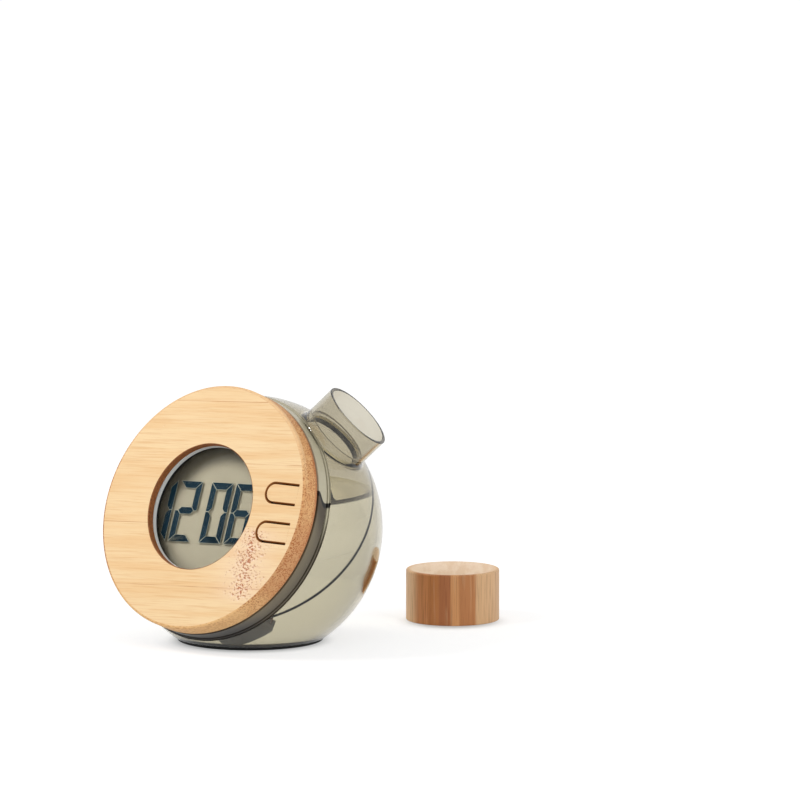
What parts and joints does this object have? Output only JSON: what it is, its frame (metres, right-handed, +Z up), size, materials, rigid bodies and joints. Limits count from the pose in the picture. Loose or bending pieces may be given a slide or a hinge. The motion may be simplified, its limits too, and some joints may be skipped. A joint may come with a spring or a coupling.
{
  "type": "water-powered clock",
  "caption": "Round desk clock run by water: leaning bamboo face with liquid-crystal display and push buttons on a clear spherical vessel with filling neck; its bamboo cap stands beside it.",
  "frame": {"origin": "on the floor, at the centre of the foot pad, straight under the vessel's centre", "axes": "+Z up, -Y towards the display's side, +X to the right seen from the front, where the filling neck and the buttons are; the face leans back 22 degrees"},
  "size_m": [0.097, 0.1405, 0.0927],
  "materials": {
    "smoke_clear": "clear, smoke tinted, polished",
    "smoke_dark": "dark smoke, satin",
    "bamboo": "laminated bamboo, sanded, thin clear oil",
    "dark_bamboo": "laminated bamboo with brown strips, thin clear oil",
    "white_plastic": "satin white",
    "black_plastic": "matte black",
    "black_rubber": "matte black",
    "pale_rubber": "matte off-white",
    "display_glass": "grey-beige reflective liquid-crystal glass with dark navy digits",
    "board_green": "green solder mask",
    "copper": "copper sheet, slightly tarnished",
    "zinc": "dull zinc sheet",
    "terminal_brass": "turned brass",
    "steel": "plated steel"
  },
  "bodies": {
    "root": {"vessel_shell": "smoke_clear", "neck_shell": "smoke_clear", "foot_pad": "black_rubber", "front_panel": "bamboo", "switch_body_upper": "black_plastic", "switch_body_lower": "black_plastic", "display_holder": "white_plastic", "display_gasket": "black_rubber", "display_cell": "display_glass", "connector_strip_upper": "pale_rubber", "connector_strip_lower": "pale_rubber", "circuit_board": "board_green", "board_screw_1": "steel", "board_screw_2": "steel", "board_screw_3": "steel", "board_screw_4": "steel", "clock_chip": "black_plastic", "quartz_crystal": "steel", "storage_capacitor": "black_plastic", "module_housing": "smoke_dark", "housing_gasket": "black_rubber", "copper_electrode": "copper", "copper_terminal": "terminal_brass", "copper_terminal_seal": "black_rubber", "copper_terminal_nut": "terminal_brass", "copper_clip": "smoke_dark", "zinc_electrode": "zinc", "zinc_terminal": "terminal_brass", "zinc_terminal_seal": "black_rubber", "zinc_terminal_nut": "terminal_brass", "zinc_clip": "smoke_dark"},
    "button_upper": {"button_upper": "bamboo"},
    "button_lower": {"button_lower": "bamboo"},
    "plunger_upper": {"switch_plunger_upper": "pale_rubber"},
    "plunger_lower": {"switch_plunger_lower": "pale_rubber"},
    "cap": {"cap_shell": "dark_bamboo", "cap_liner": "white_plastic", "cap_seal": "pale_rubber"}
  },
  "joints": [
    {"name": "button_upper_press", "type": "hinge", "parent": "root", "child": "button_upper", "pos_m": [0.04095, -0.02242, 0.05809], "axis": [0, -0.3746, -0.9272], "range_deg": [0, 3.2], "stiffness_Nm_per_rad": 0.5},
    {"name": "button_lower_press", "type": "hinge", "parent": "root", "child": "button_lower", "pos_m": [0.04095, -0.02778, 0.04483], "axis": [0, -0.3746, -0.9272], "range_deg": [0, 3.2], "stiffness_Nm_per_rad": 0.5},
    {"name": "plunger_upper_slide", "type": "slide", "parent": "root", "child": "plunger_upper", "axis": [0, 0.9272, -0.3746], "range_m": [0, 0.0006]},
    {"name": "plunger_lower_slide", "type": "slide", "parent": "root", "child": "plunger_lower", "axis": [0, 0.9272, -0.3746], "range_m": [0, 0.0006]},
    {"name": "cap_lift", "type": "slide", "parent": "root", "child": "cap", "axis": [0, 0, 1], "range_m": [0, 0.1]}
  ],
  "couplings": [
    {"joint": "plunger_upper_slide", "follows": "button_upper_press", "m_per_rad": 0.01045},
    {"joint": "plunger_lower_slide", "follows": "button_lower_press", "m_per_rad": 0.01045}
  ]
}
